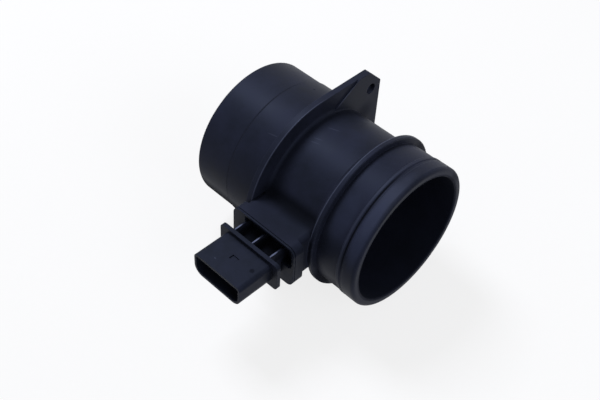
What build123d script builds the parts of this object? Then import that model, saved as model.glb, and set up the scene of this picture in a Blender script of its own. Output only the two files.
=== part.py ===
"""Mass airflow sensor: a moulded duct with a plug-in hot-film sensor. Millimetres.

X runs along the air flow from the inlet face to the outlet face, the plug points along -Y and
+Z is up. The origin is the centre of the inlet face.
"""

import os
from math import hypot, sqrt

from build123d import *

os.makedirs("parts", exist_ok=True)

# Duct, all radii about the X axis
duct_length = 116.6
inlet_radius = 42.4
shoulder_radius = 42.8
outlet_radius = 42.4
lip_radius = 42.8
tube_radius = 40.3
bore_radius = 37.8
inlet_bore_radius = 38.3
taper_length = 22.0
shoulder_start = 23.6
step_run = 0.5
edge_round = 1.2
lip_round = 2.0
mouth_round = 0.8

# Flange with its two screw ears
flange_back = 46.6
flange_thickness = 4.2
flange_radius = 50.8
ear_side = 46.0
ear_chamfer = 9.2
ear_corner_round = 2.2
ear_hole_radius = 3.25
ear_hole_y = 38.4
ear_hole_z = 39.0
pad_height = 0.8
pad_foot_y = 9.2
pad_top_y = 28.0
flange_fillet = 2.0

# Ring bead and the small hose bead on the outlet spigot
ring_foot = 84.4
ring_back = 87.9
ring_front = 90.7
ring_radius = 45.9
ring_round = 0.7
ring_foot_fillet = 1.5
hose_bead_start = 104.6
hose_bead_width = 1.6
hose_groove_width = 1.8
hose_bead_height = 0.4

# Seat for the flow straightener, from the inlet face
seat_depth = 18.0
seat_radius = 40.0
straightener_gap = 0.1
straightener_start = 2.0
straightener_wall = 2.2
comb_start = 6.0
comb_depth = 9.0
comb_pitch = 8.6
comb_web = 1.1
screen_thickness = 0.8
screen_pitch = 6.4
screen_wire = 0.6

# Sensor seat on the duct, as reach from the duct axis along -Y
sensor_x = 68.6
seat_width = 43.9
seat_height = 27.2
seat_corner = 4.5
seat_reach = 57.3
seat_flange_thickness = 5.6
seat_neck_width = 38.4
seat_neck_corner = 3.0
seat_wall = 1.5
seat_recess_depth = 4.1
seat_blend = 3.5
blend_root = 0.85
plug_gap = 0.1

# Sensor head, neck, collar and connector shell
lip_plate_thickness = 1.4
lip_seam = 0.4
lip_seam_inset = 0.5
head_wall = 1.0
head_floor = 1.3
pocket_start = 13.2
pocket_end = 18.9
pocket_low = -1.0
pocket_corner = 3.2
pocket_top_flare = 1.4
pocket_end_flare = 1.85
neck_width = 26.3
neck_height = 6.0
rib_count = 3
rib_thickness = 0.9
rib_height = 17.0
collar_width = 41.5
collar_height = 17.5
collar_corner = 2.5
neck_length = 7.8
collar_thickness = 2.3
shell_length = 21.4
shell_width = 33.2
shell_top = 6.2
shell_bottom = 7.5
shell_top_corner = 2.4
shell_bottom_corner = 5.6
shell_wall = 1.4
shell_floor = 2.0
latch_width = 4.6
latch_length = 3.0
latch_depth = 0.6
latch_set_back = 11.8

# Plug root and seal ring
root_width = 31.0
root_height = 17.0
root_corner = 4.0
seal_section = 1.8
seal_squeeze = 0.3
seal_set_back = 9.8
seal_bevel = 0.5

# Measuring finger in the air stream
finger_chord = 24.0
finger_thickness = 10.5
finger_tip = 6.5
nose_round = 4.6
tail_round = 1.6
cover_thickness = 1.2
cover_ledge = 1.0
cover_gap = 0.1
cover_round = 1.5
chamber_front = -6.2
chamber_rear = 9.2
chamber_near = 35.2
chamber_far = 17.8
chamber_floor = -2.0
channel_width = 3.8
channel_floor = -2.4
channel_inlet_y = 1.2
channel_inlet_top = 2.6
channel_turn_x = 5.6
channel_return_y = -10.0
channel_end_x = -3.6
channel_bend = 3.0
channel_cover_near = 15.4
channel_cover_far = -5.2
outlet_slot_length = 6.0

# Electronics in the chamber
plate_thickness = 1.0
board_thickness = 0.8
board_margin = 0.4
chip_width = 5.0
chip_length = 4.0
chip_height = 0.9
chip_reach = 25.0
capacitor_width = 1.2
capacitor_length = 2.0
capacitor_height = 0.8
capacitor_count = 4
capacitor_pitch = 2.6
capacitor_reach = 30.0
tongue_width = 3.0
tongue_thickness = 0.8
tongue_tip_y = -3.5
tongue_overlap = 2.4
tongue_gap = 0.1
film_width = 2.0
film_length = 3.0
film_thickness = 0.4
film_set_back = 0.6

# Terminals and the air temperature sensor
terminal_count = 5
terminal_width = 1.3
terminal_thickness = 0.8
plug_pitch = 4.6
board_pitch = 2.8
terminal_set_back = 3.7
fan_set_back = 2.5
fan_end_reach = 44.0
terminal_overlap = 2.2
lead_radius = 0.3
lead_spacing = 1.4
lead_standoff = 2.0
lead_length = 8.0
lead_root = 3.0
lead_in_bead = 1.0
bead_radius = 1.3
bead_length = 3.6

flange_front = flange_back + flange_thickness
head_reach = seat_reach + lip_plate_thickness
collar_reach = head_reach + neck_length
shell_reach = collar_reach + collar_thickness + shell_length
latch_reach = shell_reach - latch_set_back
seal_reach = seat_reach - seal_set_back
terminal_tip_reach = shell_reach - terminal_set_back
fan_start_reach = collar_reach - fan_set_back
finger_top = finger_thickness / 2
finger_nose = -finger_chord / 2
recess_width = seat_width - 2 * seat_wall
recess_height = seat_height - 2 * seat_wall
recess_reach = seat_reach - seat_recess_depth
plate_top = chamber_floor + plate_thickness
board_top = plate_top + board_thickness
cover_seat = finger_top - cover_thickness


def reach_plane(reach, z=0.0):
    """Plane across the plug's axis, facing outwards: local x is X, local y is Z."""
    return Plane(origin=(sensor_x, -reach, z), x_dir=(1, 0, 0), z_dir=(0, -1, 0))


def deck_plane(z):
    """Level plane on the plug's axis: local x is X, local y is Y."""
    return Plane(origin=(sensor_x, 0, z), x_dir=(1, 0, 0), z_dir=(0, 0, 1))


def duct_plane(x):
    """Plane across the duct: local x is Y, local y is Z."""
    return Plane(origin=(x, 0, 0), x_dir=(0, 1, 0), z_dir=(1, 0, 0))


def ear_outline(sense):
    """Screw ear that grows out of the round flange; sense -1 is the ear opposite."""
    with BuildLine() as outline:
        Polyline(
            (0, 0),
            (0, sense * flange_radius),
            (sense * (ear_side - ear_chamfer), sense * flange_radius),
            (sense * ear_side, sense * (flange_radius - ear_chamfer)),
            (sense * ear_side, 0),
            close=True,
        )
    return outline.line


def pad_outline(sense):
    """Raised pad round a screw hole, bounded by a slanting edge from the tube to the flange."""
    foot_z = sqrt(tube_radius**2 - pad_foot_y**2)
    with BuildLine() as outline:
        Polyline(
            (0, 0),
            (sense * pad_foot_y, sense * foot_z),
            (sense * pad_top_y, sense * flange_radius),
            (sense * (ear_side - ear_chamfer), sense * flange_radius),
            (sense * ear_side, sense * (flange_radius - ear_chamfer)),
            (sense * ear_side, 0),
            close=True,
        )
    return outline.line


def blend_outline(side):
    """Concave blend between the tube and the top (1) or the underside (-1) of the sensor seat."""
    centre_z = seat_height / 2 + seat_blend
    centre_y = -sqrt((tube_radius + seat_blend) ** 2 - centre_z**2)
    tube_share = tube_radius / (tube_radius + seat_blend)
    on_seat = (centre_y, seat_height / 2)
    on_tube = (centre_y * tube_share, centre_z * tube_share)
    chord_y = (on_seat[0] + on_tube[0]) / 2 - centre_y
    chord_z = (on_seat[1] + on_tube[1]) / 2 - centre_z
    scale = seat_blend / hypot(chord_y, chord_z)
    middle = (centre_y + chord_y * scale, centre_z + chord_z * scale)
    root = (on_tube[0] * blend_root, seat_height / 2 * blend_root)
    corners = [(y, side * z) for y, z in (on_seat, middle, on_tube, root)]
    with BuildLine() as outline:
        ThreePointArc(*corners[:3])
        Polyline(corners[2], corners[3], corners[0])
    return outline.line


def shell_outline(inset):
    """Connector section: flat top with tight corners, bottom with wide ones."""
    half = shell_width / 2 - inset
    with BuildSketch() as section:
        with BuildLine():
            Polyline(
                (-half, -shell_bottom + inset),
                (half, -shell_bottom + inset),
                (half, shell_top - inset),
                (-half, shell_top - inset),
                close=True,
            )
        make_face()
        low = section.vertices().group_by(Axis.Y)[0]
        fillet(low, shell_bottom_corner - inset)
        high = section.vertices().group_by(Axis.Y)[-1]
        fillet(high, shell_top_corner - inset)
    return section.sketch


def pocket_outline(end, top):
    """Window into the head, with its two corners on the far side rounded."""
    with BuildSketch() as window:
        with BuildLine():
            Polyline(
                (-pocket_start, pocket_low),
                (-pocket_start, top),
                (end, top),
                (end, pocket_low),
                close=True,
            )
        make_face()
        far_corners = window.vertices().group_by(Axis.X)[-1]
        fillet(far_corners, pocket_corner)
    return window.sketch


def terminal_outline(index):
    """Flat strip from the plug to the board, which fans in between the two pitches."""
    place = index - (terminal_count - 1) / 2
    board_x = place * board_pitch + (chamber_front + chamber_rear) / 2
    board_reach = chamber_near - board_margin - terminal_overlap
    with BuildSketch() as strip:
        with BuildLine():
            Polyline(
                (place * plug_pitch, -terminal_tip_reach),
                (place * plug_pitch, -fan_start_reach),
                (board_x, -fan_end_reach),
                (board_x, -board_reach),
            )
        trace(line_width=terminal_width)
    return strip.sketch


def lead_places():
    """Centres of the two sensor leads in a plane across the plug's axis."""
    lead_x = finger_nose - lead_standoff
    return [(lead_x, lead_spacing / 2), (lead_x, -lead_spacing / 2)]


# Duct body: one moulding with flange, ears, ring bead and sensor seat
bead_top = hose_bead_start + step_run
bead_end = bead_top + hose_bead_width
groove_end = bead_end + hose_groove_width
near = 0.01
seat_foot_reach = sqrt(bore_radius**2 - (seat_height / 2) ** 2)

with BuildPart() as tube_housing:
    with BuildSketch(Plane.XZ) as wall:
        with BuildLine():
            Polyline(
                (0, seat_radius),
                (0, inlet_radius),
                (shoulder_start, inlet_radius),
                (shoulder_start + step_run, shoulder_radius),
                (flange_front - pad_height, shoulder_radius),
                (flange_front - pad_height, tube_radius),
                (ring_foot, tube_radius),
                (ring_back, ring_radius),
                (ring_front, ring_radius),
                (ring_front, outlet_radius),
                (hose_bead_start, outlet_radius),
                (bead_top, outlet_radius + hose_bead_height),
                (bead_end, outlet_radius + hose_bead_height),
                (bead_end + step_run, outlet_radius),
                (groove_end, outlet_radius),
                (groove_end + step_run, lip_radius),
                (duct_length, lip_radius),
                (duct_length, bore_radius),
                (seat_depth + taper_length, bore_radius),
                (seat_depth, inlet_bore_radius),
                (seat_depth, seat_radius),
                close=True,
            )
        make_face()
        inlet_edge = wall.vertices().sort_by_distance((0, inlet_radius))[0]
        fillet(inlet_edge, edge_round)
        ring_edges = wall.vertices().group_by(Axis.Y)[-1]
        fillet(ring_edges, ring_round)
        flange_foot = wall.vertices().sort_by_distance((flange_front - pad_height, tube_radius))[0]
        fillet(flange_foot, flange_fillet)
        ring_foot_edge = wall.vertices().sort_by_distance((ring_foot, tube_radius))[0]
        fillet(ring_foot_edge, ring_foot_fillet)
        lip_edge = wall.vertices().sort_by_distance((duct_length, lip_radius))[0]
        fillet(lip_edge, lip_round)
        mouth_edge = wall.vertices().sort_by_distance((duct_length, bore_radius))[0]
        fillet(mouth_edge, mouth_round)
    revolve(axis=Axis.X)
    with BuildSketch(duct_plane(flange_back)) as flange:
        Circle(flange_radius)
        with Locations((flange_radius + ear_side, 0)):
            Rectangle(2 * flange_radius, 3 * flange_radius, mode=Mode.SUBTRACT)
        for side in (1, -1):
            make_face(ear_outline(side))
        for side in (1, -1):
            top_corner = (side * (ear_side - ear_chamfer), side * flange_radius)
            side_corner = (side * ear_side, side * (flange_radius - ear_chamfer))
            for corner in (top_corner, side_corner):
                fillet(flange.vertices().sort_by_distance(corner)[0], ear_corner_round)
        Circle(bore_radius + near, mode=Mode.SUBTRACT)
    extrude(amount=flange_thickness - pad_height)
    with BuildSketch(duct_plane(flange_front - pad_height)) as pads:
        for side in (1, -1):
            make_face(pad_outline(side))
        add(flange.sketch_local, mode=Mode.INTERSECT)
    extrude(amount=pad_height)
    with BuildSketch(reach_plane(seat_reach)) as seat_flange:
        RectangleRounded(seat_width, seat_height, seat_corner)
    extrude(amount=-seat_flange_thickness)
    with BuildSketch(reach_plane(seat_reach - seat_flange_thickness)) as seat_neck:
        RectangleRounded(seat_neck_width, seat_height, seat_neck_corner)
    extrude(amount=-(seat_reach - seat_flange_thickness - seat_foot_reach))
    with BuildSketch(duct_plane(sensor_x - seat_neck_width / 2)) as seat_blends:
        for side in (1, -1):
            make_face(blend_outline(side))
    extrude(amount=seat_neck_width)
    with BuildSketch(Plane.YZ) as duct_bore:
        Circle(bore_radius)
    extrude(amount=duct_length, mode=Mode.SUBTRACT)
    with BuildSketch(Plane.YZ) as inlet_seat:
        Circle(seat_radius)
    extrude(amount=seat_depth, mode=Mode.SUBTRACT)
    with BuildSketch(reach_plane(seat_reach)) as head_recess:
        RectangleRounded(recess_width, recess_height, seat_corner - seat_wall)
    extrude(amount=-seat_recess_depth, mode=Mode.SUBTRACT)
    with BuildSketch(reach_plane(seat_reach)) as root_bore:
        RectangleRounded(
            root_width + 2 * plug_gap, root_height + 2 * plug_gap, root_corner + plug_gap
        )
    extrude(amount=-(seat_reach - bore_radius / 2), mode=Mode.SUBTRACT)
    for side in (1, -1):
        with Locations(Location((flange_front, side * ear_hole_y, side * ear_hole_z), (0, 90, 0))):
            Hole(ear_hole_radius)
    tube_housing.part.label = "tube_housing"

export_step(tube_housing.part, "parts/tube_housing.step")

# Flow straightener: a ring with a honeycomb comb, pushed into the inlet
straightener_radius = seat_radius - straightener_gap
straightener_end = seat_depth - screen_thickness

with BuildPart() as flow_straightener:
    with BuildSketch(duct_plane(straightener_start)) as rim:
        Circle(straightener_radius)
        Circle(straightener_radius - straightener_wall, mode=Mode.SUBTRACT)
    extrude(amount=straightener_end - straightener_start)
    with BuildSketch(mode=Mode.PRIVATE) as cells:
        comb_cells = round(2 * straightener_radius / comb_pitch) + 2
        with HexLocations(comb_pitch / 2, comb_cells, comb_cells, major_radius=False):
            RegularPolygon((comb_pitch - comb_web) / 2, 6, major_radius=False)
    with BuildSketch(duct_plane(comb_start)) as comb:
        Circle(straightener_radius - straightener_wall / 2)
        with BuildSketch(mode=Mode.PRIVATE) as open_cells:
            Circle(straightener_radius - straightener_wall - comb_web / 2)
            add(cells.sketch_local, mode=Mode.INTERSECT)
        add(open_cells.sketch_local, mode=Mode.SUBTRACT)
    extrude(amount=comb_depth)
    flow_straightener.part.label = "flow_straightener"

export_step(flow_straightener.part, "parts/flow_straightener.step")

# Wire screen between the straightener and the shoulder of its seat
with BuildPart() as wire_screen:
    with BuildSketch(duct_plane(straightener_end)) as mesh:
        Circle(straightener_radius)
        with BuildSketch(mode=Mode.PRIVATE) as holes:
            Circle(inlet_bore_radius - screen_wire)
            screen_count = round(2 * inlet_bore_radius / screen_pitch) + 1
            with BuildSketch(mode=Mode.PRIVATE) as squares:
                with GridLocations(screen_pitch, screen_pitch, screen_count, screen_count):
                    Rectangle(screen_pitch - screen_wire, screen_pitch - screen_wire)
            add(squares.sketch_local, mode=Mode.INTERSECT)
        add(holes.sketch_local, mode=Mode.SUBTRACT)
    extrude(amount=screen_thickness)
    wire_screen.part.label = "wire_screen"

export_step(wire_screen.part, "parts/wire_screen.step")

# Sensor body: connector shell, collar, ribbed neck, head, root and measuring finger in one
head_body_width = recess_width - 2 * plug_gap
head_body_height = recess_height - 2 * plug_gap
head_body_corner = seat_corner - seat_wall - plug_gap
pocket_floor_reach = recess_reach + plug_gap + head_floor
pocket_top = head_body_height / 2 - head_wall
collar_front = collar_reach + collar_thickness
root_end = sqrt(bore_radius**2 - (root_height / 2) ** 2)
seal_depth = seal_section - seal_squeeze - plug_gap
chamber_width = chamber_rear - chamber_front
chamber_length = chamber_near - chamber_far
chamber_centre = ((chamber_front + chamber_rear) / 2, -(chamber_near + chamber_far) / 2)
tongue_slot_end = channel_return_y + channel_bend
channel_cover_length = channel_cover_near - channel_cover_far
channel_cover_centre = (chamber_centre[0], -(channel_cover_near + channel_cover_far) / 2)

with BuildPart() as sensor_body:
    with BuildSketch(reach_plane(collar_front)) as shell_section:
        add(shell_outline(0))
    extrude(amount=shell_reach - collar_front)
    with BuildSketch(reach_plane(shell_reach)) as shell_cavity:
        add(shell_outline(shell_wall))
    extrude(amount=-(shell_reach - collar_front - shell_floor), mode=Mode.SUBTRACT)
    with BuildSketch(Plane(origin=(sensor_x, -latch_reach, shell_top))) as latch:
        Rectangle(latch_width, latch_length)
    extrude(amount=-latch_depth, mode=Mode.SUBTRACT)
    with BuildSketch(reach_plane(collar_reach)) as collar:
        RectangleRounded(collar_width, collar_height, collar_corner)
    extrude(amount=collar_thickness)
    with BuildSketch(reach_plane(seat_reach)) as lip_foot:
        RectangleRounded(
            seat_width - 2 * lip_seam_inset,
            seat_height - 2 * lip_seam_inset,
            seat_corner - lip_seam_inset,
        )
    extrude(amount=lip_seam)
    with BuildSketch(reach_plane(seat_reach + lip_seam)) as lip_plate:
        RectangleRounded(seat_width, seat_height, seat_corner)
    extrude(amount=lip_plate_thickness - lip_seam)
    with BuildSketch(reach_plane(seat_reach)) as head_body:
        RectangleRounded(head_body_width, head_body_height, head_body_corner)
    extrude(amount=-(seat_recess_depth - plug_gap))
    with BuildSketch(reach_plane(pocket_floor_reach)) as pocket:
        add(pocket_outline(pocket_end, pocket_top))
    extrude(amount=seat_reach - pocket_floor_reach, mode=Mode.SUBTRACT)
    with BuildSketch(reach_plane(seat_reach)) as pocket_throat:
        add(pocket_outline(pocket_end, pocket_top))
    with BuildSketch(reach_plane(head_reach)) as pocket_mouth:
        add(pocket_outline(pocket_end + pocket_end_flare, pocket_top + pocket_top_flare))
    loft(mode=Mode.SUBTRACT)
    with BuildSketch(reach_plane(pocket_floor_reach)) as neck:
        Rectangle(neck_width, neck_height)
        with GridLocations((neck_width - rib_thickness) / (rib_count - 1), 1, rib_count, 1):
            Rectangle(rib_thickness, rib_height)
    extrude(amount=collar_reach - pocket_floor_reach)
    with BuildSketch(reach_plane(recess_reach + plug_gap)) as root:
        RectangleRounded(root_width, root_height, root_corner)
    extrude(amount=-(recess_reach + plug_gap - root_end))
    with BuildSketch(reach_plane(seal_reach + seal_section / 2)) as groove:
        RectangleRounded(root_width, root_height, root_corner)
        RectangleRounded(
            root_width - 2 * seal_depth,
            root_height - 2 * seal_depth,
            root_corner - seal_depth,
            mode=Mode.SUBTRACT,
        )
    extrude(amount=-seal_section, mode=Mode.SUBTRACT)
    with BuildSketch(duct_plane(sensor_x + finger_nose)) as finger_foot:
        with Locations(((finger_tip - root_end) / 2, 0)):
            Rectangle(finger_tip + root_end, finger_thickness)
    extrude(amount=finger_chord)
    nose_edges = (
        sensor_body.edges()
        .filter_by(Axis.Y)
        .filter_by_position(Axis.X, sensor_x + finger_nose - near, sensor_x + finger_nose + near)
    )
    fillet(nose_edges, nose_round)
    tail_edges = (
        sensor_body.edges()
        .filter_by(Axis.Y)
        .filter_by_position(Axis.X, sensor_x - finger_nose - near, sensor_x - finger_nose + near)
    )
    fillet(tail_edges, tail_round)
    with BuildSketch(deck_plane(chamber_floor)) as chamber:
        with Locations(chamber_centre):
            Rectangle(chamber_width, chamber_length)
    extrude(amount=finger_top - chamber_floor, mode=Mode.SUBTRACT)
    with BuildSketch(deck_plane(cover_seat)) as cover_seats:
        with Locations(chamber_centre):
            RectangleRounded(
                chamber_width + 2 * cover_ledge, chamber_length + 2 * cover_ledge, cover_round
            )
        with Locations(channel_cover_centre):
            RectangleRounded(chamber_width + 2 * cover_ledge, channel_cover_length, cover_round)
    extrude(amount=cover_thickness, mode=Mode.SUBTRACT)
    with BuildSketch(deck_plane(channel_floor)) as channel:
        with BuildLine():
            FilletPolyline(
                (chamber_front, channel_inlet_y),
                (channel_turn_x, channel_inlet_y),
                (channel_turn_x, channel_return_y),
                (channel_end_x, channel_return_y),
                radius=channel_bend,
            )
        trace(line_width=channel_width)
    extrude(amount=cover_seat - channel_floor, mode=Mode.SUBTRACT)
    with BuildSketch(deck_plane(channel_floor)) as inlet_tunnel:
        with Locations(((finger_nose + chamber_front) / 2, channel_inlet_y)):
            Rectangle(chamber_front - finger_nose, channel_width)
    extrude(amount=channel_inlet_top - channel_floor, mode=Mode.SUBTRACT)
    with BuildSketch(deck_plane(channel_floor)) as outlet_slot:
        with Locations((channel_end_x + outlet_slot_length / 2, channel_return_y)):
            Rectangle(outlet_slot_length, channel_width)
    extrude(amount=-finger_thickness, mode=Mode.SUBTRACT)
    with BuildSketch(deck_plane(board_top)) as tongue_slot:
        with Locations((channel_turn_x, (tongue_slot_end - chamber_far) / 2)):
            Rectangle(tongue_width + 2 * tongue_gap, tongue_slot_end + chamber_far)
    extrude(amount=tongue_thickness + tongue_gap, mode=Mode.SUBTRACT)
    with BuildSketch(deck_plane(board_top)) as terminal_slots:
        for strip_index in range(terminal_count):
            add(terminal_outline(strip_index))
    extrude(amount=terminal_thickness, mode=Mode.SUBTRACT)
    with BuildSketch(reach_plane(root_end + lead_root)) as lead_holes:
        with Locations(*lead_places()):
            Circle(lead_radius)
    extrude(amount=-lead_root, mode=Mode.SUBTRACT)
    sensor_body.part.label = "sensor_body"

export_step(sensor_body.part, "parts/sensor_body.step")

# Seal ring in the groove of the root
with BuildPart() as seal_ring:
    with BuildSketch(reach_plane(seal_reach + seal_section / 2)) as ring_section:
        RectangleRounded(
            root_width + 2 * plug_gap, root_height + 2 * plug_gap, root_corner + plug_gap
        )
        RectangleRounded(
            root_width - 2 * seal_depth,
            root_height - 2 * seal_depth,
            root_corner - seal_depth,
            mode=Mode.SUBTRACT,
        )
    extrude(amount=-seal_section)
    side_edges = seal_ring.faces().filter_by(Axis.Y).edges()
    chamfer(side_edges, seal_bevel)
    seal_ring.part.label = "seal_ring"

export_step(seal_ring.part, "parts/seal_ring.step")

# Covers of the electronics chamber and of the measuring channel
with BuildPart() as electronics_cover:
    with BuildSketch(deck_plane(cover_seat)) as cover_plate:
        with Locations(chamber_centre):
            RectangleRounded(
                chamber_width + 2 * cover_ledge - 2 * cover_gap,
                chamber_length + 2 * cover_ledge - 2 * cover_gap,
                cover_round - cover_gap,
            )
    extrude(amount=cover_thickness)
    electronics_cover.part.label = "electronics_cover"

export_step(electronics_cover.part, "parts/electronics_cover.step")

with BuildPart() as channel_cover:
    with BuildSketch(deck_plane(cover_seat)) as channel_plate:
        with Locations(channel_cover_centre):
            RectangleRounded(
                chamber_width + 2 * cover_ledge - 2 * cover_gap,
                channel_cover_length - 2 * cover_gap,
                cover_round - cover_gap,
            )
    extrude(amount=cover_thickness)
    channel_cover.part.label = "channel_cover"

export_step(channel_cover.part, "parts/channel_cover.step")

# Electronics: metal carrier, ceramic board, chip and capacitors
board_width = chamber_width - 2 * board_margin
board_length = chamber_length - 2 * board_margin

with BuildPart() as carrier_plate:
    with BuildSketch(deck_plane(chamber_floor)) as plate:
        with Locations(chamber_centre):
            Rectangle(board_width, board_length)
    extrude(amount=plate_thickness)
    carrier_plate.part.label = "carrier_plate"

export_step(carrier_plate.part, "parts/carrier_plate.step")

with BuildPart() as circuit_board:
    with BuildSketch(deck_plane(plate_top)) as board:
        with Locations(chamber_centre):
            Rectangle(board_width, board_length)
    extrude(amount=board_thickness)
    circuit_board.part.label = "circuit_board"

export_step(circuit_board.part, "parts/circuit_board.step")

with BuildPart() as signal_chip:
    with BuildSketch(deck_plane(board_top)) as chip:
        with Locations((chamber_centre[0] - chip_width / 2, -chip_reach)):
            Rectangle(chip_width, chip_length)
    extrude(amount=chip_height)
    chamfer(signal_chip.edges().group_by(Axis.Z)[-1], chip_height / 4)
    signal_chip.part.label = "signal_chip"

export_step(signal_chip.part, "parts/signal_chip.step")

with BuildPart() as board_capacitors:
    with BuildSketch(deck_plane(board_top)) as capacitors:
        with Locations((chamber_centre[0], -capacitor_reach)):
            with GridLocations(capacitor_pitch, 1, capacitor_count, 1):
                Rectangle(capacitor_width, capacitor_length)
    extrude(amount=capacitor_height)
    board_capacitors.part.label = "board_capacitors"

export_step(board_capacitors.part, "parts/board_capacitors.step")

# Sensing tongue that reaches into the channel, with the hot-film chip near its tip
tongue_root_y = -(chamber_far + board_margin + tongue_overlap)

with BuildPart() as sensing_tongue:
    with BuildSketch(deck_plane(board_top)) as tongue:
        with Locations((channel_turn_x, (tongue_root_y + tongue_tip_y) / 2)):
            Rectangle(tongue_width, tongue_tip_y - tongue_root_y)
    extrude(amount=tongue_thickness)
    sensing_tongue.part.label = "sensing_tongue"

export_step(sensing_tongue.part, "parts/sensing_tongue.step")

with BuildPart() as hot_film_chip:
    with BuildSketch(deck_plane(board_top + tongue_thickness)) as film:
        with Locations((channel_turn_x, tongue_tip_y - film_set_back - film_length / 2)):
            Rectangle(film_width, film_length)
    extrude(amount=film_thickness)
    hot_film_chip.part.label = "hot_film_chip"

export_step(hot_film_chip.part, "parts/hot_film_chip.step")

# Five terminals, from the plug to the board
for terminal_index in range(terminal_count):
    with BuildPart() as terminal:
        with BuildSketch(deck_plane(board_top)) as strip_face:
            add(terminal_outline(terminal_index))
        extrude(amount=terminal_thickness)
        tip_edges = terminal.faces().sort_by(Axis.Y)[0].edges().filter_by(Axis.Z)
        chamfer(tip_edges, terminal_width / 4)
    terminal.part.label = f"terminal_{terminal_index + 1}"
    export_step(terminal.part, f"parts/{terminal.part.label}.step")

# Air temperature sensor: a bead on two leads that stand ahead of the finger
with BuildPart() as temperature_leads:
    with BuildSketch(reach_plane(root_end + lead_root)) as lead_section:
        with Locations(*lead_places()):
            Circle(lead_radius)
    extrude(amount=-(lead_root + lead_length))
    temperature_leads.part.label = "temperature_leads"

export_step(temperature_leads.part, "parts/temperature_leads.step")

bead_end_reach = root_end - lead_length + lead_in_bead

with BuildPart() as temperature_bead:
    with BuildSketch(deck_plane(0)) as bead_half:
        with Locations((finger_nose - lead_standoff, -bead_end_reach + bead_length / 2)):
            SlotOverall(bead_length, 2 * bead_radius, rotation=90)
            with Locations((-bead_radius, 0)):
                Rectangle(2 * bead_radius, bead_length, mode=Mode.SUBTRACT)
    revolve(axis=Axis((sensor_x + finger_nose - lead_standoff, 0, 0), (0, 1, 0)))
    with BuildSketch(reach_plane(root_end)) as bead_holes:
        with Locations(*lead_places()):
            Circle(lead_radius)
    extrude(amount=-lead_length, mode=Mode.SUBTRACT)
    temperature_bead.part.label = "temperature_bead"

export_step(temperature_bead.part, "parts/temperature_bead.step")
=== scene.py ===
import math

import bmesh
import bpy
from mathutils import Matrix, Vector


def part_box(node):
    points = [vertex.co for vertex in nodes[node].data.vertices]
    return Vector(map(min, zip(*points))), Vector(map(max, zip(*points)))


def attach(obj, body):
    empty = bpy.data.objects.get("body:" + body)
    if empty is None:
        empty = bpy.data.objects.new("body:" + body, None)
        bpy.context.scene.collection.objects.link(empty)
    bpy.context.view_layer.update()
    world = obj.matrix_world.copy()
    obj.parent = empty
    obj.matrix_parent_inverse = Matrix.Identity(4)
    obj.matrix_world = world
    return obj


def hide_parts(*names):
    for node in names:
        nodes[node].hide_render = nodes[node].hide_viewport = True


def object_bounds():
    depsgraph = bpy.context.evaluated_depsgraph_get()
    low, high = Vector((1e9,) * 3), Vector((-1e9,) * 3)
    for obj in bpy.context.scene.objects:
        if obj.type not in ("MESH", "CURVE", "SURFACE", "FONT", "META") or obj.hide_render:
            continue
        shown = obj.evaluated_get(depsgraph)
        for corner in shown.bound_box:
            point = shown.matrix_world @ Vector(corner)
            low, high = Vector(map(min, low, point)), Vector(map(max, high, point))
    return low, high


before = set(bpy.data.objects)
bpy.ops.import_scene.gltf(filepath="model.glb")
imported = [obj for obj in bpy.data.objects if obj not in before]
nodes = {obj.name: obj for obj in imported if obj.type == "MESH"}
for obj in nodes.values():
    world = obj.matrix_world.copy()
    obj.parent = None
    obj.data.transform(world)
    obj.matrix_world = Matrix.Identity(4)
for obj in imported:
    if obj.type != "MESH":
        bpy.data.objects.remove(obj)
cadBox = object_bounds()
mm = 0.001
print("frame loaded:", len(nodes), "pieces")


def toLinear(hexColour):
    parts = [int(hexColour[i:i + 2], 16) / 255 for i in (0, 2, 4)]
    return [c / 12.92 if c <= 0.04045 else ((c + 0.055) / 1.055) ** 2.4 for c in parts] + [1.0]


def addNode(tree, kind, settings=None, links=None):
    # settings are the node's own options, with "stops" for the two ends of a colour ramp; links
    # gives each input a value or a (node, output) pair
    node = tree.nodes.new(kind)
    settings = dict(settings or {})
    for index, (place, colour) in enumerate(settings.pop("stops", [])):
        node.color_ramp.elements[index].position = place
        node.color_ramp.elements[index].color = colour
    for name, value in settings.items():
        setattr(node, name, value)
    for name, value in (links or {}).items():
        if isinstance(value, tuple) and isinstance(value[0], bpy.types.Node):
            tree.links.new(value[0].outputs[value[1]], node.inputs[name])
        else:
            node.inputs[name].default_value = value
    return node


def newMaterial(name):
    material = bpy.data.materials.new(name)
    material.use_nodes = True
    material.node_tree.nodes.clear()
    return material, material.node_tree


def dress(nodeName, material):
    piece = nodes[nodeName]
    piece.data.materials.clear()
    piece.data.materials.append(material)


def layOver(tree, under, share, look, finish):
    # lays one overlay, its colour and its roughness, over the tone and roughness that are there; an overlay
    # is painted shade, a painted highlight or wear
    tone, rough = under
    tone = addNode(tree, "ShaderNodeMix", {"data_type": "RGBA"}, {
        "Factor": share, "A": (tone, "Result"), "B": toLinear(look[finish])})
    rough = addNode(tree, "ShaderNodeMix", {"data_type": "FLOAT"}, {
        "Factor": share, "A": (rough, "Result"), "B": look[finish + "Rough"]})
    return tone, rough


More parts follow.
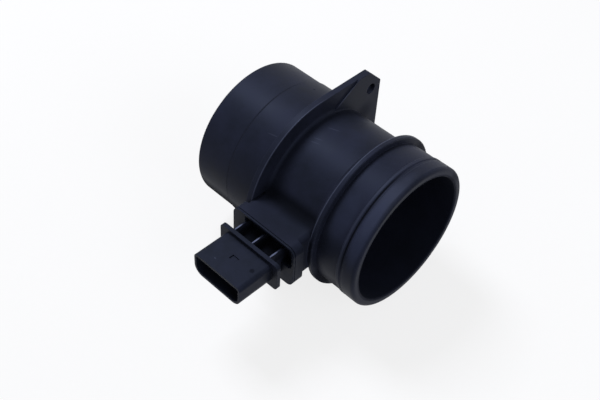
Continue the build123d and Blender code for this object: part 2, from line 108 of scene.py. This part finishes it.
def mouldedPlastic(name, look):
    # glass-filled polyester out of a spark-eroded tool: to the eye nearly black with a blue cast, with
    # a soft broad gloss instead of a sharp one; its edges are painted a little paler, partly as wear and
    # partly as a painted highlight, and corners and chosen places get painted shade and painted highlights
    material, tree = newMaterial(name)
    place = addNode(tree, "ShaderNodeTexCoord")
    cloud = addNode(tree, "ShaderNodeTexNoise", {}, {
        "Vector": (place, "Object"), "Scale": 1 / (look["cloudMm"] * mm), "Detail": 6.0, "Roughness": 0.66})
    grain = addNode(tree, "ShaderNodeTexNoise", {}, {
        "Vector": (place, "Object"), "Scale": 1 / (look["grainMm"] * mm), "Detail": 2.0, "Roughness": 0.5})
    scuff = addNode(tree, "ShaderNodeTexNoise", {}, {
        "Vector": (place, "Object"), "Scale": 1 / (look["scuffMm"] * mm), "Detail": 6.0,
        "Roughness": 0.7, "Distortion": 0.6})
    body = addNode(tree, "ShaderNodeValToRGB", {
        "stops": [(look["cloudSpan"][0], toLinear(look["dark"])),
                  (look["cloudSpan"][1], toLinear(look["pale"]))]}, {"Fac": (cloud, "Fac")})
    wear = addNode(tree, "ShaderNodeMapRange", {}, {
        "Value": (scuff, "Fac"), "From Min": look["scuffSpan"][0], "From Max": look["scuffSpan"][1],
        "To Min": 0.0, "To Max": look["scuffShare"]})
    # edges: where the rounded normal leaves the flat one the moulding is painted paler, partly as rubbing
    # and partly as a painted highlight
    rounded = addNode(tree, "ShaderNodeBevel", {"samples": look["edgeSamples"]}, {
        "Radius": look["edgeMm"] * mm})
    flat = addNode(tree, "ShaderNodeNewGeometry")
    turn = addNode(tree, "ShaderNodeVectorMath", {"operation": "DOT_PRODUCT"}, {
        0: (rounded, "Normal"), 1: (flat, "Normal")})
    edge = addNode(tree, "ShaderNodeMapRange", {}, {
        "Value": (turn, "Value"), "From Min": look["edgeSpan"][0], "From Max": look["edgeSpan"][1],
        "To Min": 0.0, "To Max": look["edgeShare"]})
    wearAndEdgeHighlight = addNode(tree, "ShaderNodeMath", {"operation": "MAXIMUM"}, {
        0: (wear, "Result"), 1: (edge, "Result")})
    tone = addNode(tree, "ShaderNodeMix", {"data_type": "RGBA"}, {
        "Factor": (wearAndEdgeHighlight, "Value"), "A": (body, "Color"), "B": toLinear(look["rub"])})
    # painted shade: tight inner corners, found by ambient occlusion, are painted darker and made duller
    corner = addNode(tree, "ShaderNodeAmbientOcclusion", {"samples": look["cornerSamples"]}, {
        "Distance": look["cornerMm"] * mm})
    cornerShade = addNode(tree, "ShaderNodeMapRange", {}, {
        "Value": (corner, "AO"), "From Min": look["cornerSpan"][0], "From Max": look["cornerSpan"][1],
        "To Min": 0.0, "To Max": look["cornerShare"]})
    tone = addNode(tree, "ShaderNodeMix", {"data_type": "RGBA"}, {
        "Factor": (cornerShade, "Result"), "A": (tone, "Result"), "B": toLinear(look["shade"])})
    rough = addNode(tree, "ShaderNodeMapRange", {}, {
        "Value": (cloud, "Fac"), "From Min": look["roughSpan"][0], "From Max": look["roughSpan"][1],
        "To Min": look["roughLow"], "To Max": look["roughHigh"]})
    across = addNode(tree, "ShaderNodeSeparateXYZ", {}, {"Vector": (place, "Object")})
    flattened = addNode(tree, "ShaderNodeVectorMath", {"operation": "MULTIPLY"}, {
        0: (place, "Object"), 1: (0, 1, 1)})
    radius = addNode(tree, "ShaderNodeVectorMath", {"operation": "LENGTH"}, {0: (flattened, "Vector")})
    lean = addNode(tree, "ShaderNodeMath", {"operation": "SUBTRACT"}, {0: (across, "Z"), 1: (across, "Y")})
    for band in look["bands"]:
        # a line round the duct at one radius: painted shade along a step or groove, or a painted highlight
        # along a crest; z less y is largest on the upper plug side, and the line fades as that drops from
        # fullMm to goneMm, so it shows on the lit side
        off = addNode(tree, "ShaderNodeMath", {"operation": "SUBTRACT"}, {
            0: (across, "X"), 1: band["x"] * mm})
        away = addNode(tree, "ShaderNodeMath", {"operation": "ABSOLUTE"}, {0: (off, "Value")})
        line = addNode(tree, "ShaderNodeMapRange", {"interpolation_type": "SMOOTHSTEP"}, {
            "Value": (away, "Value"), "From Min": band["halfMm"] * mm,
            "From Max": band["halfMm"] * mm * look["bandCore"], "To Min": 0.0, "To Max": band["share"]})
        near = addNode(tree, "ShaderNodeMath", {"operation": "COMPARE"}, {
            0: (radius, "Value"), 1: band["radiusMm"] * mm, 2: look["bandReachMm"] * mm})
        fade = addNode(tree, "ShaderNodeMapRange", {"interpolation_type": "SMOOTHSTEP"}, {
            "Value": (lean, "Value"), "From Min": band["goneMm"] * mm, "From Max": band["fullMm"] * mm})
        onRing = addNode(tree, "ShaderNodeMath", {"operation": "MULTIPLY"}, {
            0: (line, "Result"), 1: (near, "Value")})
        share = addNode(tree, "ShaderNodeMath", {"operation": "MULTIPLY"}, {
            0: (onRing, "Value"), 1: (fade, "Result")})
        tone, rough = layOver(tree, (tone, rough), (share, "Value"), look, band["finish"])
    for patch in look["patches"]:
        # a place of wear, painted shade or a painted highlight: an egg shape by its middle, half sizes and
        # turn
        egg = addNode(tree, "ShaderNodeMapping", {"vector_type": "TEXTURE"}, {
            "Vector": (place, "Object"), "Location": [value * mm for value in patch["at"]],
            "Rotation": patch.get("turn", (0, 0, 0)), "Scale": [value * mm for value in patch["half"]]})
        away = addNode(tree, "ShaderNodeVectorMath", {"operation": "LENGTH"}, {0: (egg, "Vector")})
        share = addNode(tree, "ShaderNodeMapRange", {"interpolation_type": "SMOOTHSTEP"}, {
            "Value": (away, "Value"), "From Min": 1.0, "From Max": patch.get("core", look["patchCore"]),
            "To Min": 0.0, "To Max": patch["share"]})
        share = (share, "Result")
        if "spanMm" in patch:
            # this patch also stops at a plane each side of its middle
            within = addNode(tree, "ShaderNodeMath", {"operation": "COMPARE"}, {
                0: (across, "X"), 1: patch["at"][0] * mm, 2: patch["spanMm"] * mm})
            joined = addNode(tree, "ShaderNodeMath", {"operation": "MULTIPLY"}, {
                0: share, 1: (within, "Value")})
            share = (joined, "Value")
        tone, rough = layOver(tree, (tone, rough), share, look, patch["finish"])
    bump = addNode(tree, "ShaderNodeBump", {}, {
        "Strength": look["grainStrength"], "Distance": look["grainHeightMm"] * mm, "Height": (grain, "Fac"),
        "Normal": (rounded, "Normal")})
    shader = addNode(tree, "ShaderNodeBsdfPrincipled", {}, {
        "Base Color": (tone, "Result"), "Roughness": (rough, "Result"), "IOR": look["ior"],
        "Specular IOR Level": look["gloss"], "Specular Tint": toLinear(look["sheen"]),
        "Normal": (bump, "Normal")})
    addNode(tree, "ShaderNodeOutputMaterial", {}, {"Surface": (shader, "BSDF")})
    return material


def paleStreak(start, end, widthMm, share):
    # a thin paler line between two points, used for fine scratches and for a painted highlight along an edge
    run = Vector(end) - Vector(start)
    return {"at": (Vector(start) + Vector(end)) / 2, "half": (run.length / 2, widthMm, widthMm),
            "turn": run.to_track_quat("X", "Z").to_euler(), "finish": "polish", "share": share}


# rolling and drawing lines are really about 0.02 mm apart, all drawn coarser so that they show
metalFinish = {"span": (0.3, 0.7), "roughRise": 0.14, "lineStrength": 0.2, "lineHeightMm": 0.005}


def drawnMetal(name, look):
    # drawn or rolled metal: fine lines along one way, so the gloss is streaked
    material, tree = newMaterial(name)
    low, high = metalFinish["span"]
    place = addNode(tree, "ShaderNodeTexCoord")
    turned = addNode(tree, "ShaderNodeMapping", {}, {"Vector": (place, "Object"), "Scale": look["stretch"]})
    lines = addNode(tree, "ShaderNodeTexNoise", {}, {
        "Vector": (turned, "Vector"), "Scale": 1 / (look["lineMm"] * mm), "Detail": 5.0, "Roughness": 0.6})
    tone = addNode(tree, "ShaderNodeValToRGB", {
        "stops": [(low, toLinear(look["dark"])), (high, toLinear(look["pale"]))]}, {"Fac": (lines, "Fac")})
    gloss = addNode(tree, "ShaderNodeMapRange", {}, {
        "Value": (lines, "Fac"), "From Min": low, "From Max": high,
        "To Min": look["rough"], "To Max": look["rough"] + metalFinish["roughRise"]})
    bump = addNode(tree, "ShaderNodeBump", {}, {
        "Strength": metalFinish["lineStrength"], "Distance": metalFinish["lineHeightMm"] * mm,
        "Height": (lines, "Fac")})
    shader = addNode(tree, "ShaderNodeBsdfPrincipled", {}, {
        "Base Color": (tone, "Color"), "Metallic": 1.0, "Roughness": (gloss, "Result"),
        "Normal": (bump, "Normal")})
    addNode(tree, "ShaderNodeOutputMaterial", {}, {"Surface": (shader, "BSDF")})
    return material


# grain in these is really a few hundredths of a millimetre or less, all drawn coarser so that it shows
solidFinish = {"span": (0.3, 0.7), "roughRise": 0.12, "grainStrength": 0.25, "grainHeightMm": 0.01}


def grainedSolid(name, look):
    # fired, moulded or dipped body: fine two-tone grain
    material, tree = newMaterial(name)
    low, high = solidFinish["span"]
    place = addNode(tree, "ShaderNodeTexCoord")
    grain = addNode(tree, "ShaderNodeTexNoise", {}, {
        "Vector": (place, "Object"), "Scale": 1 / (look["grainMm"] * mm), "Detail": 4.0, "Roughness": 0.6})
    tone = addNode(tree, "ShaderNodeValToRGB", {
        "stops": [(low, toLinear(look["dark"])), (high, toLinear(look["pale"]))]}, {"Fac": (grain, "Fac")})
    gloss = addNode(tree, "ShaderNodeMapRange", {}, {
        "Value": (grain, "Fac"), "From Min": low, "From Max": high,
        "To Min": look["rough"], "To Max": look["rough"] + solidFinish["roughRise"]})
    bump = addNode(tree, "ShaderNodeBump", {}, {
        "Strength": solidFinish["grainStrength"], "Distance": solidFinish["grainHeightMm"] * mm,
        "Height": (grain, "Fac")})
    shader = addNode(tree, "ShaderNodeBsdfPrincipled", {}, {
        "Base Color": (tone, "Color"), "Roughness": (gloss, "Result"), "IOR": look["ior"],
        "Coat Weight": look["coat"], "Normal": (bump, "Normal")})
    addNode(tree, "ShaderNodeOutputMaterial", {}, {"Surface": (shader, "BSDF")})
    return material


housingLook = {
    "dark": "161922",
    "pale": "1f2230",
    "cloudMm": 22.0,       # slow flow shading from the melt
    "cloudSpan": (0.34, 0.68),
    # the paler colours paint wear and painted highlights; shade paints painted shade and dark marks
    "rub": "383e54",
    "rubRough": 0.55,
    "polish": "5c6278",
    "polishRough": 0.38,
    "shade": "07080b",
    "shadeRough": 0.95,
    "sheen": "aebfee",     # the tool's grain scatters a faint blue gloss
    "gloss": 0.085,        # much below the usual 0.5, set low to match how matt the moulding looks
    "ior": 1.5,
    "roughLow": 0.42,
    "roughHigh": 0.54,
    "roughSpan": (0.3, 0.7),
    "grainMm": 0.45,       # spark-eroded tool grain, real one about 0.15, drawn coarser so that it shows
    "grainStrength": 0.35,
    "grainHeightMm": 0.02,
    "scuffMm": 1.6,
    "scuffSpan": (0.64, 0.78),
    "scuffShare": 0.35,
    "edgeMm": 0.35,
    "edgeSamples": 4,
    "edgeSpan": (0.99, 0.75),
    "edgeShare": 0.45,
    "cornerMm": 5.0,
    "cornerSamples": 8,
    "cornerSpan": (0.7, 0.3),
    "cornerShare": 0.25,
    "bandReachMm": 0.6,    # a band leaves out whatever is further off its radius, such as the bore
    "bandCore": 0.2,       # share of a band's half width that has its full strength
    "patchCore": 0.5,
    "bands": [
        # painted shade along the step on the inlet spigot
        {"x": 23.75, "radiusMm": 42.6, "halfMm": 0.8, "goneMm": 10, "fullMm": 45, "finish": "shade",
         "share": 0.55},
        # a painted highlight along the flange's front edge
        {"x": 49.8, "radiusMm": 50.8, "halfMm": 0.4, "goneMm": 40, "fullMm": 60, "finish": "polish",
         "share": 0.3},
        # a painted highlight along the ring bead's crest
        {"x": 88.1, "radiusMm": 45.8, "halfMm": 0.5, "goneMm": 0, "fullMm": 50, "finish": "polish",
         "share": 0.35},
        # a painted highlight along the hose bead, and painted shade in the groove before the lip
        {"x": 105.7, "radiusMm": 42.6, "halfMm": 0.9, "goneMm": 20, "fullMm": 50, "finish": "polish",
         "share": 0.14},
        {"x": 107.4, "radiusMm": 42.6, "halfMm": 0.7, "goneMm": 36, "fullMm": 56, "finish": "shade",
         "share": 0.95},
    ],
    "patches": [
        # a dark spot on the inlet spigot
        {"at": (31.8, 13.7, 40.2), "half": (0.9, 0.9, 0.9), "finish": "shade", "share": 0.5},
        # painted shade in the creases above and below the sensor seat, where it meets the tube
        {"at": (68.6, -39.0, 14.6), "half": (50, 8.5, 8.5), "core": 0.1, "spanMm": 19.6,
         "finish": "shade", "share": 0.9},
        {"at": (68.6, -39.0, -14.6), "half": (50, 8.5, 8.5), "core": 0.1, "spanMm": 19.6,
         "finish": "shade", "share": 0.9},
        # the seat, painted darker and duller than the tube
        {"at": (68.6, -51.0, 0), "half": (26, 14, 22), "core": 0.8, "finish": "shade", "share": 0.22},
        # painted shade on the wall of the bore: darker and duller than the outside
        {"at": (60, 0, 0), "half": (900, 39.6, 39.6), "core": 0.975, "finish": "shade", "share": 0.45},
        # below the plug, painted darker and duller so that the floor shines less off it at low angles, as
        # painted shade: inlet spigot, then ring and outlet spigot; the real moulding may well have no such
        # difference
        {"at": (24, -36, -24), "half": (900, 17, 17), "core": 0.3, "spanMm": 26, "finish": "shade",
         "share": 0.9},
        {"at": (92, -36, -24), "half": (900, 16, 16), "core": 0.3, "spanMm": 12, "finish": "shade",
         "share": 0.6},
        # the side away from the plug, painted a little darker and duller for the same reason, as painted
        # shade
        {"at": (60, 34.5, 24.5), "half": (900, 9, 9), "core": 0.2, "finish": "shade", "share": 0.3},
        # the lip and the outlet spigot, painted paler: a broad painted highlight, on the lip partly hose
        # wear too
        {"at": (112.3, -20, 38), "half": (4.8, 30, 25), "finish": "polish", "share": 0.12},
        {"at": (112.3, -34, 27), "half": (5, 26, 26), "finish": "rub", "share": 0.4},
        {"at": (98, -34, 28), "half": (7, 18, 18), "finish": "rub", "share": 0.18},
        # painted shade on the walls of the two ear holes
        {"at": (48.7, 38.4, 39.0), "half": (2.1, 5, 5), "finish": "shade", "share": 1.0},
        {"at": (48.7, -38.4, -39.0), "half": (2.1, 5, 5), "finish": "shade", "share": 1.0},
        # a painted highlight along the ear pad's step
        paleStreak((50.7, 9.6, 39.3), (50.7, 27.6, 50.4), 0.5, 0.5),
        # scratches on the tube and on the inlet spigot
        paleStreak((56.7, -3.1, 40.2), (65.0, 0.1, 40.3), 0.3, 0.16),
        paleStreak((55.4, -14.9, 37.5), (63.3, -12.9, 38.2), 0.3, 0.12),
        paleStreak((55.8, -12.4, 38.4), (62.5, -10.5, 38.9), 0.3, 0.12),
        paleStreak((34.6, -24.6, 35.1), (43.5, -23.2, 36.0), 0.35, 0.14),
    ],
}
dress("tube_housing", mouldedPlastic("glassFilledPolyesterMouldedMatt", housingLook))

# the same polyester in thin walls, painted a little darker as shade between the cells, and more even
combLook = dict(housingLook, dark="14161e", pale="1a1d27", cloudMm=12.0, edgeMm=0.1, bands=[], patches=[])
dress("flow_straightener", mouldedPlastic("polyesterMouldedHoneycomb", combLook))

# the same polyester out of a finer tool: a little denser, with a tighter grain
sensorLook = dict(
    housingLook, dark="14171f", pale="1b1e2a", rub="363b50", cloudMm=9.0, grainMm=0.35,
    roughLow=0.4, roughHigh=0.52, edgeMm=0.3, cornerShare=0.85, bands=[],
    patches=[
        # painted shade in the deep window in the head
        {"at": (68.6, -61.0, 4.0), "half": (21, 7.5, 4.2), "finish": "shade", "share": 0.95},
        # on the connector shell: a bright speck and the print of an ejector pin
        {"at": (61.8, -85.0, 6.2), "half": (0.8, 0.45, 0.5), "finish": "polish", "share": 0.2},
        {"at": (80.3, -77.4, 6.2), "half": (1.7, 1.7, 1.0), "finish": "shade", "share": 0.6},
        # painted highlights on the tops of the three ribs
        {"at": (55.9, -63.8, 8.5), "half": (0.55, 3.6, 0.5), "finish": "polish", "share": 1.0},
        {"at": (68.6, -63.8, 8.5), "half": (0.55, 3.6, 0.5), "finish": "polish", "share": 1.0},
        {"at": (81.3, -63.8, 8.5), "half": (0.55, 3.6, 0.5), "finish": "polish", "share": 1.0},
    ])
dress("sensor_body", mouldedPlastic("glassFilledPolyesterMouldedSatin", sensorLook))

# a flat polyester cover: greyer and more even
coverLook = dict(sensorLook, dark="181a22", pale="20232d", cloudMm=6.0, patches=[])
coverPlastic = mouldedPlastic("polyesterMouldedFlatCover", coverLook)
dress("electronics_cover", coverPlastic)
dress("channel_cover", coverPlastic)

# an uncoated polyester tongue: plain dark grey
tongueLook = dict(coverLook, dark="26282c", pale="303338", cloudMm=3.0, edgeMm=0.1)
dress("sensing_tongue", mouldedPlastic("polyesterMouldedTongue", tongueLook))

# silicone rubber out of a mould: near black and dull
sealLook = {"dark": "1c1c1f", "pale": "26262a", "grainMm": 0.3, "rough": 0.55, "ior": 1.41, "coat": 0.0}
dress("seal_ring", grainedSolid("siliconeRubberMoulded", sealLook))

# rolled aluminium sheet: pale grey, its gloss drawn out along the sheet
carrierLook = {"dark": "b4b6b8", "pale": "d6d7d8", "rough": 0.3, "lineMm": 0.3, "stretch": (0.08, 1, 1)}
dress("carrier_plate", drawnMetal("aluminiumSheetRolled", carrierLook))

# fired alumina: off-white, faintly speckled and half matt
boardLook = {"dark": "ddd9cd", "pale": "ece9df", "grainMm": 0.4, "rough": 0.45, "ior": 1.76, "coat": 0.0}
dress("circuit_board", grainedSolid("aluminaCeramicFired", boardLook))

# epoxy resin moulded round a chip: even black, half matt
chipLook = {"dark": "17171a", "pale": "222225", "grainMm": 0.2, "rough": 0.4, "ior": 1.55, "coat": 0.0}
dress("signal_chip", grainedSolid("epoxyResinMouldedBlack", chipLook))

# fired titanate ceramic: brown with a slight gloss
capacitorLook = {"dark": "7a5a3c", "pale": "967150", "grainMm": 0.25, "rough": 0.35, "ior": 2.0, "coat": 0.0}
dress("board_capacitors", grainedSolid("bariumTitanateCeramicFired", capacitorLook))

# silicon under a thin glaze: slate blue and shiny
filmLook = {"dark": "2c3440", "pale": "3c4656", "grainMm": 0.3, "rough": 0.12, "ior": 1.5, "coat": 0.6}
dress("hot_film_chip", grainedSolid("siliconChipGlazed", filmLook))

# drawn copper wire, tinned: grey-white, its gloss drawn out along the wire
leadLook = {"dark": "9c9b95", "pale": "c8c7c0", "rough": 0.3, "lineMm": 0.2, "stretch": (1, 0.1, 1)}
dress("temperature_leads", drawnMetal("tinnedCopperWireDrawn", leadLook))

# dipped epoxy resin: a shiny brown drop
beadLook = {"dark": "2a2019", "pale": "3a2c20", "grainMm": 0.6, "rough": 0.15, "ior": 1.55, "coat": 0.5}
dress("temperature_bead", grainedSolid("epoxyResinDippedBead", beadLook))

# stamped bronze strip, tinned: warm grey and fairly bright
terminalLook = {"dark": "a9a69c", "pale": "d2cfc4", "rough": 0.26, "lineMm": 0.3, "stretch": (1, 0.08, 1)}
terminalMetal = drawnMetal("tinnedBronzeStripStamped", terminalLook)
for index in range(1, 6):
    dress("terminal_%d" % index, terminalMetal)

# drawn stainless wire: neutral grey with a bright gloss
screenLook = {"dark": "8a8c8e", "pale": "c2c3c4", "rough": 0.28, "lineMm": 0.2, "stretch": (1, 1, 1)}
screenSteel = drawnMetal("stainlessSteelWireDrawn", screenLook)
dress("wire_screen", screenSteel)
print("materials made:", len(bpy.data.materials))

screenShape = {
    "pitchMm": 2.1,
    "wireRadiusMm": 0.14,
    "wireSides": 5,
    "waveMm": 0.15,
    "stepsPerPitch": 4,
    "endClearMm": 0.4,     # wires stop this far inside the rim's outer edge
    "rimWidthMm": 2.0,
    "rimHalfMm": 0.36,
    "rimClearMm": 0.02,
    "rimSteps": 96,
}


def waveAt(step, phase, look):
    return look["waveMm"] * mm * math.cos(math.pi * step / look["stepsPerPitch"] + phase)


def weaveWire(halfPitches, phase, look):
    # one wire along Z in a mesh of its own: a small round section, extruded step by step along a wave
    wire = bmesh.new()
    step = look["pitchMm"] / look["stepsPerPitch"] * mm
    count = 2 * halfPitches * look["stepsPerPitch"]
    verts = bmesh.ops.create_circle(wire, cap_ends=False, segments=look["wireSides"],
                                    radius=look["wireRadiusMm"] * mm)["verts"]
    before = waveAt(0, phase, look)
    bmesh.ops.translate(wire, vec=(before, 0, -step * count / 2), verts=verts)
    edges = list(wire.edges)
    firstEnd = list(edges)
    for place in range(1, count + 1):
        grown = bmesh.ops.extrude_edge_only(wire, edges=edges)["geom"]
        verts = [item for item in grown if isinstance(item, bmesh.types.BMVert)]
        edges = [item for item in grown if isinstance(item, bmesh.types.BMEdge)]
        now = waveAt(place, phase, look)
        bmesh.ops.translate(wire, vec=(now - before, 0, step), verts=verts)
        before = now
    for end in (firstEnd, edges):
        bmesh.ops.holes_fill(wire, edges=end, sides=look["wireSides"])
    bmesh.ops.recalc_face_normals(wire, faces=wire.faces)
    return wire


def makeScreen(look):
    low, high = (Vector(corner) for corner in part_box("wire_screen"))
    outer = (high.y - low.y) / 2 / mm
    inner = outer - look["rimWidthMm"]
    data = bpy.data.meshes.new("wovenScreen")
    whole = bmesh.new()
    count = int(inner // look["pitchMm"])
    for quarter in (0, 1):
        for index in range(-count, count + 1):
            offset = index * look["pitchMm"]
            halfPitches = round(math.sqrt(inner ** 2 - offset ** 2) / look["pitchMm"])
            while math.hypot(halfPitches * look["pitchMm"], offset) > outer - look["endClearMm"]:
                halfPitches -= 1
            if halfPitches < 1:
                continue
            wire = weaveWire(halfPitches, math.pi * (index + halfPitches + quarter), look)
            bmesh.ops.translate(wire, vec=(0, offset * mm, 0), verts=wire.verts)
            bmesh.ops.rotate(wire, cent=(0, 0, 0), matrix=Matrix.Rotation(quarter * math.pi / 2, 3, "X"),
                             verts=wire.verts)
            wire.to_mesh(data)
            wire.free()
            whole.from_mesh(data)
    # the rim: a square section spun round the duct's axis
    rim = bmesh.new()
    edge = outer - look["rimClearMm"]
    corners = [rim.verts.new((side * look["rimHalfMm"] * mm, radius * mm, 0))
               for side, radius in ((-1, inner), (1, inner), (1, edge), (-1, edge))]
    loop = [rim.edges.new((corners[i], corners[(i + 1) % 4])) for i in range(4)]
    bmesh.ops.spin(rim, geom=corners + loop, cent=(0, 0, 0), axis=(1, 0, 0), angle=2 * math.pi,
                   steps=look["rimSteps"], use_merge=True)
    bmesh.ops.recalc_face_normals(rim, faces=rim.faces)
    rim.to_mesh(data)
    rim.free()
    whole.from_mesh(data)
    bmesh.ops.translate(whole, vec=((low.x + high.x) / 2, 0, 0), verts=whole.verts)
    whole.to_mesh(data)
    whole.free()
    piece = bpy.data.objects.new("wovenScreen", data)
    bpy.context.scene.collection.objects.link(piece)
    data.materials.append(screenSteel)
    return piece


wovenScreen = makeScreen(screenShape)
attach(wovenScreen, "root")
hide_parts("wire_screen")
print("screen woven:", len(wovenScreen.data.polygons), "faces")

stageLook = {
    "middle": (0.06, 0, 0),    # the part's middle: the floor lies round it and the lamps aim at it
    "floor": "f4f4f5",
    "floorFibre": "f2f2f3",
    "fibreScale": 400.0,
    "floorRough": 0.9,
    "floorBounce": "a0a0a4",   # what the floor throws back on to the part
    "floorGlow": 0.8,          # share of the floor that is seen as plain white
    "floorSize": 6.0,
    "floorGap": 0.0002,
    "world": "ffffff",
    "worldStrength": 0.22,
}


def seenWhite(tree):
    # 1 where the camera, a gloss or a clear wall looks at the background
    path = addNode(tree, "ShaderNodeLightPath")
    gloss = addNode(tree, "ShaderNodeMath", {"operation": "MAXIMUM"}, {
        0: (path, "Is Camera Ray"), 1: (path, "Is Glossy Ray")})
    return addNode(tree, "ShaderNodeMath", {"operation": "MAXIMUM"}, {
        0: (gloss, "Value"), 1: (path, "Is Transmission Ray")})


def makeFloor(look):
    mesh = bmesh.new()
    bmesh.ops.create_grid(mesh, x_segments=2, y_segments=2, size=look["floorSize"] / 2)
    middle = Vector(look["middle"])
    bmesh.ops.translate(mesh, vec=(middle.x, middle.y, cadBox[0][2] - look["floorGap"]), verts=mesh.verts)
    data = bpy.data.meshes.new("studioFloor")
    mesh.to_mesh(data)
    mesh.free()
    floor = bpy.data.objects.new("studioFloor", data)
    bpy.context.scene.collection.objects.link(floor)
    # matt paper sweep: no gloss, a hardly visible fibre
    material, tree = newMaterial("paperSweepMatt")
    place = addNode(tree, "ShaderNodeTexCoord")
    fibre = addNode(tree, "ShaderNodeTexNoise", {}, {
        "Vector": (place, "Object"), "Scale": look["fibreScale"], "Detail": 2.0})
    tone = addNode(tree, "ShaderNodeValToRGB", {
        "stops": [(0.3, toLinear(look["floorFibre"])), (0.7, toLinear(look["floor"]))]},
        {"Fac": (fibre, "Fac")})
    seen = seenWhite(tree)
    colour = addNode(tree, "ShaderNodeMix", {"data_type": "RGBA"}, {
        "Factor": (seen, "Value"), "A": toLinear(look["floorBounce"]), "B": (tone, "Color")})
    paper = addNode(tree, "ShaderNodeBsdfDiffuse", {}, {
        "Color": (colour, "Result"), "Roughness": look["floorRough"]})
    glow = addNode(tree, "ShaderNodeEmission", {}, {"Color": (1, 1, 1, 1), "Strength": 1.0})
    share = addNode(tree, "ShaderNodeMath", {"operation": "MULTIPLY"}, {
        0: (seen, "Value"), 1: look["floorGlow"]})
    sweep = addNode(tree, "ShaderNodeMixShader", {}, {
        "Fac": (share, "Value"), 1: (paper, "BSDF"), 2: (glow, "Emission")})
    addNode(tree, "ShaderNodeOutputMaterial", {}, {"Surface": (sweep, "Shader")})
    data.materials.append(material)


def makeWorld(look):
    world = bpy.data.worlds.new("softStudio")
    bpy.context.scene.world = world
    world.use_nodes = True
    tree = world.node_tree
    tree.nodes.clear()
    dim = addNode(tree, "ShaderNodeBackground", {}, {
        "Color": toLinear(look["world"]), "Strength": look["worldStrength"]})
    white = addNode(tree, "ShaderNodeBackground", {}, {"Color": (1, 1, 1, 1), "Strength": 1.0})
    mixed = addNode(tree, "ShaderNodeMixShader", {}, {
        "Fac": (seenWhite(tree), "Value"), 1: (dim, "Background"), 2: (white, "Background")})
    addNode(tree, "ShaderNodeOutputWorld", {}, {"Surface": (mixed, "Shader")})


def addLamp(name, lamp):
    light = bpy.data.lights.new(name, "AREA")
    light.shape = "SQUARE"
    light.size = lamp["size"]
    light.energy = lamp["watts"]
    light.color = toLinear(lamp["colour"])[:3]
    holder = bpy.data.objects.new(name, light)
    holder.location = lamp["place"]
    aim = Vector(stageLook["middle"]) - Vector(lamp["place"])
    holder.rotation_euler = aim.to_track_quat("-Z", "Y").to_euler()
    bpy.context.scene.collection.objects.link(holder)


lamps = {
    "inletSoftbox": {"place": (-0.396, -0.01, 0.832), "size": 0.35, "watts": 8.4, "colour": "f4f6ff"},
    "outletSoftbox": {"place": (0.9, -0.1, 0.45), "size": 0.6, "watts": 3.2, "colour": "f4f6ff"},
}
makeFloor(stageLook)
makeWorld(stageLook)
for lampName in lamps:
    addLamp(lampName, lamps[lampName])

view = {
    "place": (0.29962, -0.29001, 0.37360),
    "right": (0.7106, 0.7021, 0.0462),
    "up": (-0.5287, 0.4895, 0.6935),
    "back": (0.4643, -0.5172, 0.7190),
    "lens": 58.26,
    "film": 36.0,
    "nearest": 0.01,
}
cameraData = bpy.data.cameras.new("studioCamera")
cameraData.sensor_fit = "HORIZONTAL"
cameraData.sensor_width = view["film"]
cameraData.lens = view["lens"]
cameraData.clip_start = view["nearest"]
camera = bpy.data.objects.new("studioCamera", cameraData)
turn = Matrix((view["right"], view["up"], view["back"])).transposed().to_4x4()
camera.matrix_world = Matrix.Translation(Vector(view["place"])) @ turn
bpy.context.scene.collection.objects.link(camera)
bpy.context.scene.camera = camera
bpy.context.scene.view_settings.view_transform = "Standard"
print("stage set")
